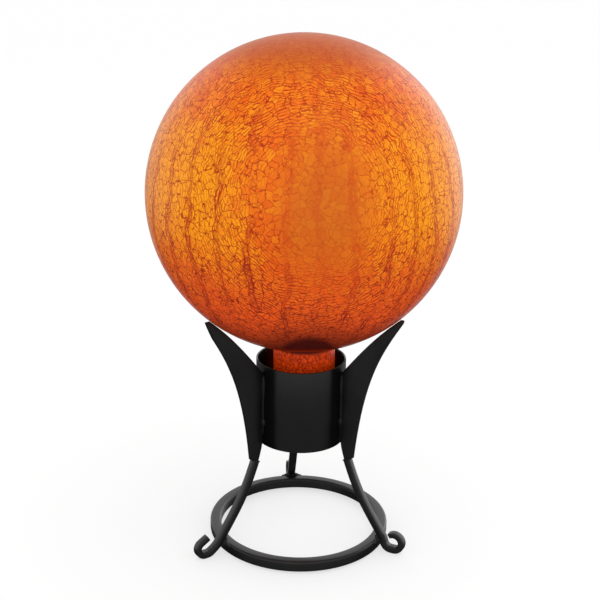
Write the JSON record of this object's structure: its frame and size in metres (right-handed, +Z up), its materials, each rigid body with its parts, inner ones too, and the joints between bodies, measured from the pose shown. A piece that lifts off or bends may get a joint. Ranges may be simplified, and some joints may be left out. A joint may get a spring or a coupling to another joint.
{
  "type": "gazing globe",
  "caption": "Crackled orange glass gazing globe with an open neck, held in the collar of a black iron stand with leaf-shaped supports and scroll feet.",
  "frame": {"origin": "on the ground, under the middle of the globe", "axes": "+Z up, +Y towards the rear leg, the two front legs to -X and +X"},
  "size_m": [0.2538, 0.2538, 0.4294],
  "materials": {
    "globe_glass": "polished outside, finely crackled amber-orange inside, nearly opaque",
    "stand_iron": "satin black paint on forged and welded iron"
  },
  "bodies": {
    "root": {"globe": "globe_glass", "collar": "stand_iron", "base_ring": "stand_iron", "leg_rear": "stand_iron", "leg_left": "stand_iron", "leg_right": "stand_iron", "leaf_rear": "stand_iron", "leaf_left": "stand_iron", "leaf_right": "stand_iron"}
  },
  "joints": []
}
